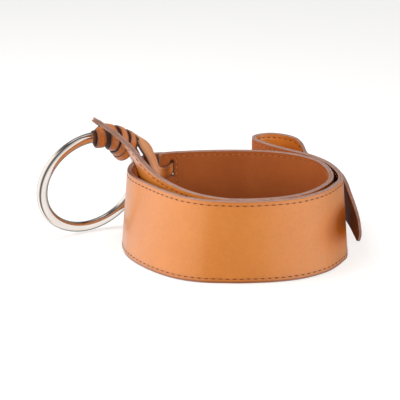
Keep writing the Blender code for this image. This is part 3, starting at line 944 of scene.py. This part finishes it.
def outer_half():
    slab = half_slab(OUTER, 0.0, JOIN, (3.0, 0.05), (True, False), OUTER_SLOT)
    grain, lining = plies("outer", slab, OUTER_SIDE, grain_spots=[TONGUE_SHADOW, TONGUE_PENUMBRA, LOOP_SHADE],
                          lining_spots=[OUTER_GAP_SHADE, LEFT_BEND_SHADE])
    lines = [
        edge_line(OUTER, SEAM_INSET, JOIN, True),
        edge_line(OUTER, SEAM_INSET, JOIN, False),
        cross_line(OUTER, SEAM_INSET, 1.5),
    ]
    threads = ("outer_thread", "tail_upper_thread", "tail_lower_thread")
    sewing = sew_both("outer", OUTER, OUTER_SIDE, lines, threads)
    board = core("outer_core_board", OUTER, OUTER_SLOT, OUTER.nearest(42.0, 110.0))
    bend_all((grain, lining, *sewing, board))
    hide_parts("outer_shell", "tail_shell")
    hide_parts("outer_lining", "tail_lining")
    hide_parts("outer_core", "tail_core")


def tongue():
    slab = half_slab(OUTER, JOIN, OUTER.length, (0.05, 2.2), (False, True))
    grain, lining = plies("tongue", slab, OUTER_SIDE, SHADED_TONGUE_GRAIN)
    last = OUTER.length - SEAM_INSET
    lines = [
        edge_line(OUTER, JOIN, last, True),
        edge_line(OUTER, JOIN, last, False),
    ]
    sewing = sew_both("tongue", OUTER, OUTER_SIDE, lines, ("flap_thread",))
    bend_all((grain, lining, *sewing))
    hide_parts("flap_shell", "tail_shell")
    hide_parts("flap_lining", "tail_lining")


# ---------------------------------------------------------------- ring, knot and lace

def ring_axes():
    """The ring's axis and two directions in its plane, the first of them level."""
    yaw, pitch = math.radians(RING_YAW), math.radians(RING_PITCH)
    axis = np.array([
        math.cos(pitch) * math.sin(yaw),
        -math.cos(pitch) * math.cos(yaw),
        math.sin(pitch),
    ])
    level = unit(np.cross([0.0, 0.0, 1.0], axis))
    return level, np.cross(axis, level), axis


LEVEL, RISING, AXIS = ring_axes()


def full_turn(count):
    return 2 * math.pi * np.arange(count) / count


def round_ring(along, around, radial, axial):
    """Points on an oval tube round the ring's middle circle; angles in radians."""
    along, around = np.asarray(along), np.asarray(around)
    out = np.cos(along)[..., None] * LEVEL + np.sin(along)[..., None] * RISING
    reach = RING_RADIUS + radial * np.cos(around)
    return RING_CENTRE + out * reach[..., None] + AXIS * (axial * np.sin(around))[..., None]


def tube(name, along, radial, axial, surface, closed=False, bore=None):
    """A tube round the ring's circle. Radial and axial reach are arrays of stations by sides;
    a bore, as its two reaches, makes the tube hollow and closes its ends."""
    stations, sides = radial.shape
    count = stations * sides
    turns = np.broadcast_to(full_turn(sides), (stations, sides))
    along = np.broadcast_to(np.asarray(along)[:, None], (stations, sides))
    skins = [(radial, axial)]
    if bore:
        skins.append([np.full((stations, sides), reach) for reach in bore])
    points = [round_ring(along, turns, *skin).reshape(-1, 3) for skin in skins]
    faces = []
    for skin in range(len(skins)):
        for i in range(stations if closed else stations - 1):
            for k in range(sides):
                n, m = (k + 1) % sides, (i + 1) % stations
                face = (i * sides + k, i * sides + n, m * sides + n, m * sides + k)
                faces.append(tuple(skin * count + v for v in face))
    if bore:
        for i in (0, stations - 1):
            for k in range(sides):
                a, b = i * sides + k, i * sides + (k + 1) % sides
                faces.append((a, b, count + b, count + a))
    return mesh_object(name, np.vstack(points), faces, [0] * len(faces), [surface])


RING_THICKNESS = 4.0
RING_DEPTH = 2.8
RING_STATIONS = 192
RING_SIDES = 40
# How square the ring's section is: 2 would be an ellipse.
SQUARENESS = 2.35


def squared(reach, share):
    """Reach of a squarish oval in the direction whose cosine or sine is given."""
    share = np.maximum(np.abs(share), 1e-9)
    return reach * np.minimum(share ** (2 / SQUARENESS - 1), 1 / np.maximum(share, 0.35))


def ring():
    """The ring: a squarish oval section, turned and polished."""
    around = full_turn(RING_SIDES)
    every = np.ones((RING_STATIONS, 1))
    made = tube("metal_ring", full_turn(RING_STATIONS), squared(RING_THICKNESS, np.cos(around)) * every,
                squared(RING_DEPTH, np.sin(around)) * every, METAL, closed=True)
    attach(made, "ring")
    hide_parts("ring")


KNOT_BASE = 7.7
KNOT_SIDES = 48
KNOT_BORE = (4.3, 3.1)
# Stations in degrees round the ring; the collar's fullness at each of its own.
PADDING_DEGREES = [39.6, 39.8, 40.6, 42.0, 46.0, 50.0, 54.0, 58.0, 62.0, 66.0, 70.0, 74.0, 78.0, 82.0,
                   85.0, 87.0, 88.0, 88.8, 89.4, 89.6]
COLLAR_DEGREES = [86.0, 87.0, 88.5, 90.0, 91.6, 92.8, 93.6, 94.0, 94.2]
COLLAR_FULLNESS = [0.5, 0.9, 1.0, 1.0, 1.0, 0.95, 0.8, 0.5, 0.15]


def knot_reach(degrees, around):
    """How far the padding stands off the ring's circle: it swells inside the ring and narrows
    towards its end."""
    base = KNOT_BASE - 1.5 * smooth_step((degrees - 76.0) / 14.0)
    swell = smooth_step((66.0 - degrees) / 20.0) * np.clip(-np.cos(around - 0.45), 0.0, 1.0)
    return base + 3.6 * swell


def sleeve():
    """Dark leather padding under the wraps, and the collar that shows beside them."""
    degrees = np.array(PADDING_DEGREES)
    ends = np.minimum(smooth_step((degrees - 38.6) / 3.0), smooth_step((91.0 - degrees) / 3.0))[:, None]
    fullness = 0.35 + 0.65 * ends
    outer = knot_reach(degrees[:, None], full_turn(KNOT_SIDES)[None, :])
    pad = tube("knot_padding", np.radians(degrees), 4.6 + (outer - 4.6) * fullness,
               3.4 + (outer - 0.8 - 3.4) * fullness, COLLAR, bore=KNOT_BORE)
    roll = 0.8 * np.array(COLLAR_FULLNESS)[:, None] * np.ones((1, KNOT_SIDES))
    collar = tube("knot_collar", np.radians(COLLAR_DEGREES), 4.35 + roll, 3.15 + roll, COLLAR,
                  bore=KNOT_BORE)
    for piece in (pad, collar):
        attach(piece, "knot")
        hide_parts("knot_sleeve")


# Where the middle of the winding lies at each half turn, in degrees round the ring: outside of the
# ring first, then inside, and so on.
WINDING = [88.0, 85.5, 76.5, 66.5, 64.5, 53.5, 52.5, 43.5, 42.6]
STEPS_PER_HALF_TURN = 20
WRAP_WIDTH = 7.0
OUTSIDE_NARROWING = 0.17
WRAP_HALF_THICKNESS = 0.8
WRAP_LIP = [(0.2, 0.55), (0.36, 0.36), (0.43, 0.1), (0.45, -0.1), (0.43, -0.3), (0.36, -0.55),
            (0.2, -0.72)]
# The height that the lace's row depths are given for.
LACE_NOMINAL = 11.1


def crown(slab, rise):
    """How far a lace's face stands up away from its edges."""
    return rise * (1 - np.exp(-np.clip(slab.edge, 0, None) / 1.2))


def lace_slab(band, corners):
    return Slab(band, 0.0, band.length, rows=LACE_ROWS, nominal=LACE_NOMINAL, corners=corners,
                seam_ends=(False, False))


def wrap():
    """The flat lace wound over the padding."""
    half_turns = len(WINDING) - 1
    turns = np.linspace(0.0, half_turns, half_turns * STEPS_PER_HALF_TURN + 1)
    spots = np.array(WINDING, float)
    base = np.clip(turns.astype(int), 0, half_turns - 1)
    share = turns - base
    smooth = share * 0.45 + smooth_step(share) * 0.55
    middle = spots[base] + (spots[base + 1] - spots[base]) * smooth
    around = turns * math.pi
    reach = knot_reach(middle, around) + 0.95
    ring_reach = RING_RADIUS + reach * np.cos(around)
    spacing = np.radians(11.2) * ring_reach
    narrowed = 1 - OUTSIDE_NARROWING * np.clip(np.cos(around), 0.0, 1.0)
    half = np.minimum(WRAP_WIDTH * narrowed, 0.93 * spacing) / 2 / ring_reach
    edges = [round_ring(np.radians(middle) + off, around, reach, reach - 0.8) for off in (half, -half)]
    band = Band(np.hstack(edges))
    slab = lace_slab(band, (1.5, 1.5))
    upper, _, normal = band.sample(band.s[:1])
    side = 1 if normal[0] @ (upper[0] - RING_CENTRE) >= 0 else -1
    front = 0.62 + crown(slab, 0.3)
    back = np.full(slab.depth.shape, -WRAP_HALF_THICKNESS)
    made = slab.build("knot_wrap", side, front, back, WRAP_LIP, [LACING, LACE_EDGE, FLESH])
    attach(made, "knot")
    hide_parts("wrap_thong")


def ribbon_rows(stations):
    rows = []
    for x, y, z, u, v, w, width in stations:
        middle = np.array([x, y, z])
        side = unit(np.array([u, v, w])) * width / 2
        rows.append((*(middle + side), *(middle - side)))
    return rows


def lace():
    """The lace that leaves the knot, crosses the rim and passes through both slots."""
    band = Band(ribbon_rows(LACE))
    slab = lace_slab(band, (1.5, 2.2))
    face = LACE_HALF_THICKNESS - 0.1 + crown(slab, 0.12)
    # Painted shade on the lace's run down into the slot.
    slot_shade = (band.nearest(-51.0, 49.0), 4.3, 7.0, 20.0, 0.5)
    surfaces = [LIT_NECK_LACING, LACE_EDGE, LIT_NECK_LACING]
    made = slab.build("lace_strap", 1, face, -face, LACE_LIP, surfaces, [slot_shade])
    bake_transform(made)
    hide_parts("neck_lace", "slot_lace")


inner_half()
outer_half()
tongue()
ring()
sleeve()
wrap()
lace()


# ---------------------------------------------------------------- studio

def floor():
    """A pale floor: white to the eye, greyer as a source of bounced light, absent from reflections."""
    mesh = bpy.data.meshes.new("studio_floor")
    build = bmesh.new()
    bmesh.ops.create_circle(build, cap_ends=True, radius=30.0, segments=96)
    build.to_mesh(mesh)
    build.free()
    obj = bpy.data.objects.new("studio_floor", mesh)
    bpy.context.scene.collection.objects.link(obj)
    surface = Nodes(bpy.data.materials.new("studio_floor"))
    shader = surface.tree.nodes["Principled BSDF"]
    shader.inputs["Roughness"].default_value = 0.7
    shader.inputs["Specular IOR Level"].default_value = 0.1
    shader.inputs["Emission Color"].default_value = grey(1.0)
    path = surface.add("ShaderNodeLightPath").outputs
    tint = surface.mix(path["Is Camera Ray"], grey(BOUNCE), grey(FLOOR_TONE))
    surface.join(tint, shader.inputs["Base Color"])
    glow = surface.scaled(path["Is Camera Ray"], FLOOR_GLOW)
    surface.join(glow, shader.inputs["Emission Strength"])
    choice = surface.add("ShaderNodeMixShader")
    surface.join(path["Is Glossy Ray"], choice.inputs[0])
    surface.join(shader.outputs[0], choice.inputs[1])
    surface.join(surface.add("ShaderNodeBsdfTransparent").outputs[0], choice.inputs[2])
    surface.join(choice.outputs[0], surface.tree.nodes["Material Output"].inputs["Surface"])
    mesh.materials.append(surface.owner)


# What the floor bounces to the object, and what it shows to the camera.
BOUNCE = 0.36
FLOOR_TONE = 0.62
FLOOR_GLOW = 0.52
# Brightness by compass angle, from behind the object round by the left, the camera and the right,
# as a share of a full turn: what a polished surface sees, then what lights a dull one.
SURROUND = [(0.0, 0.8), (0.14, 0.9), (0.17, 1.5), (0.34, 1.5), (0.39, 1.2), (0.422, 0.9), (0.448, 0.3),
            (0.48, 0.16), (0.53, 0.16), (0.57, 0.8), (0.62, 1.4), (0.72, 1.3), (0.8, 0.5), (0.9, 0.2),
            (1.0, 0.8)]
AMBIENT = [(0.0, 0.55), (0.25, 0.6), (0.4, 0.4), (0.5, 0.36), (0.6, 0.7), (0.68, 1.25), (0.8, 1.3),
           (0.9, 0.9), (1.0, 0.55)]
# Brightness by height, as a share of the way up, for the same two.
ZENITH = [(0.55, 1.0), (0.72, 0.12), (0.88, 0.12), (0.96, 0.9)]
OVERHEAD = [(0.45, 1.0), (0.95, 0.35)]


def world():
    """Even white studio, darker behind the camera and overhead, with bright walls at the sides."""
    made = Nodes(bpy.data.worlds.new("studio"))
    bpy.context.scene.world = made.owner
    background = made.tree.nodes["Background"]
    background.inputs["Color"].default_value = (1.0, 0.99, 0.98, 1.0)
    parts = made.add("ShaderNodeSeparateXYZ")
    made.join(made.add("ShaderNodeTexCoord").outputs["Generated"], parts.inputs[0])
    angle = made.add("ShaderNodeMath", operation="ARCTAN2")
    made.join(parts.outputs["X"], angle.inputs[0])
    made.join(made.scaled(parts.outputs["Y"], -1.0), angle.inputs[1])
    turn = made.scaled(angle.outputs[0], 0.5 / math.pi, 0.5)

    def levels(stops, source):
        peak = max(level for _, level in stops)
        shares = made.ramp(source, [(place, grey(level / peak)) for place, level in stops])
        return made.scaled(shares, peak)

    def around(by_angle, by_height):
        return made.mix(1.0, levels(by_angle, turn), levels(by_height, parts.outputs["Z"]), "MULTIPLY")

    path = made.add("ShaderNodeLightPath").outputs
    lit = made.mix(path["Is Glossy Ray"], around(AMBIENT, OVERHEAD), around(SURROUND, ZENITH))
    seen = made.mix(path["Is Camera Ray"], lit, grey(1.0))
    made.join(seen, background.inputs["Strength"])


# Lamps: place, the point they face, width and height in metres, and power in watts.
SOFTBOXES = {
    "left_softbox": ((-0.78, -0.3, 0.3), (0.0, 0.0, 0.03), (0.5, 0.5), 4.1),
    "front_softbox": ((0.1, -0.95, 0.4), (0.0, 0.0, 0.03), (0.6, 0.4), 4.1),
    "right_softbox": ((0.8, -0.5, 0.4), (0.03, 0.0, 0.03), (0.4, 0.4), 1.1),
    "top_softbox": ((-0.3, 0.1, 0.9), (0.0, 0.0, 0.0), (0.5, 0.5), 3.0),
}
LAMP_COLOUR = (1.0, 0.98, 0.95)


def softbox(name, place, aim, size, power):
    """A soft lamp that polished surfaces don't mirror."""
    data = bpy.data.lights.new(name, "AREA")
    data.shape = "RECTANGLE"
    data.size, data.size_y = size
    data.energy = power
    data.color = LAMP_COLOUR
    obj = bpy.data.objects.new(name, data)
    bpy.context.scene.collection.objects.link(obj)
    obj.location = place
    obj.rotation_euler = (Vector(aim) - Vector(place)).to_track_quat("-Z", "Y").to_euler()
    obj.visible_glossy = False


CAMERA_AIM = framed(-25.6, 57.0, 19.7)
CAMERA_DISTANCE = 0.9
CAMERA_ELEVATION = math.radians(18.0)
CAMERA_LENS = 108.18


def camera():
    data = bpy.data.cameras.new("studio_camera")
    data.sensor_width = 36.0
    data.lens = CAMERA_LENS
    obj = bpy.data.objects.new("studio_camera", data)
    bpy.context.scene.collection.objects.link(obj)
    back = Vector((0.0, -math.cos(CAMERA_ELEVATION), math.sin(CAMERA_ELEVATION)))
    obj.location = Vector(CAMERA_AIM) + back * CAMERA_DISTANCE
    obj.rotation_euler = (math.pi / 2 - CAMERA_ELEVATION, 0.0, 0.0)
    bpy.context.scene.camera = obj


floor()
world()
for lamp, settings in SOFTBOXES.items():
    softbox(lamp, *settings)
camera()
bpy.context.scene.view_settings.view_transform = "Standard"
